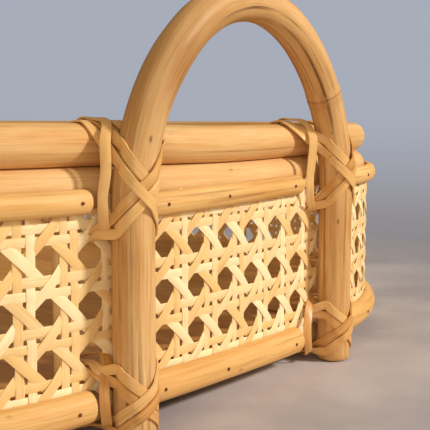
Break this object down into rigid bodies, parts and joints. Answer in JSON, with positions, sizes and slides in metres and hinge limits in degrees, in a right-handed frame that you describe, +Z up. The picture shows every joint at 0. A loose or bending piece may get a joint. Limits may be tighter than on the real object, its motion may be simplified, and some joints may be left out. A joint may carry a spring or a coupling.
{
  "type": "bread basket",
  "caption": "Shallow round-cornered rattan basket with an open cane-webbing wall, a solid floor and an arched carrying handle lashed to each end.",
  "frame": {"origin": "middle of the plan, on the surface that the four handle feet stand on", "axes": "+Z up, +Y along the basket's length towards the back handle, +X across to the right as seen from the front handle's side"},
  "size_m": [0.3256, 0.4112, 0.1189],
  "materials": {
    "rattan_pole": "peeled and sanded rattan pole, pale honey, long fine grain, satin",
    "rattan_handle": "rattan pole with its skin, tan with darker lengthwise streaks and faint nodes, satin",
    "split_rattan": "split half-round rattan, warm honey, long grain, satin",
    "cane_webbing": "woven flat cane strands, ivory to pale straw, lightly glossy skin",
    "binding_cane": "flat wrapping cane, light brown with paler edges, glossy skin",
    "rattan_post": "thin rattan core rod, pale, grooved lengthwise, matt",
    "plywood": "stained thin plywood, brown with an open grain, satin",
    "nail_steel": "small flat pin heads, dull dark steel"
  },
  "bodies": {
    "root": {"top_rim_pole": "rattan_pole", "upper_hoop": "rattan_pole", "base_hoop": "rattan_pole", "floor_panel": "plywood", "cane_webbing": "cane_webbing", "upper_strip_front": "split_rattan", "upper_strip_back": "split_rattan", "upper_strip_right": "split_rattan", "upper_strip_left": "split_rattan", "lower_strip_front": "split_rattan", "lower_strip_back": "split_rattan", "lower_strip_right": "split_rattan", "lower_strip_left": "split_rattan", "handle_front": "rattan_handle", "handle_back": "rattan_handle", "lashing_front_left_top": "binding_cane", "lashing_front_left_foot": "binding_cane", "lashing_front_right_top": "binding_cane", "lashing_front_right_foot": "binding_cane", "lashing_back_left_top": "binding_cane", "lashing_back_left_foot": "binding_cane", "lashing_back_right_top": "binding_cane", "lashing_back_right_foot": "binding_cane", "post_front_left": "rattan_post", "post_front_right": "rattan_post", "post_back_left": "rattan_post", "post_back_right": "rattan_post", "post_right_front": "rattan_post", "post_right_middle": "rattan_post", "post_right_back": "rattan_post", "post_left_front": "rattan_post", "post_left_middle": "rattan_post", "post_left_back": "rattan_post", "upper_strip_nails": "nail_steel", "lower_strip_nails": "nail_steel", "floor_nails": "nail_steel"}
  },
  "joints": []
}
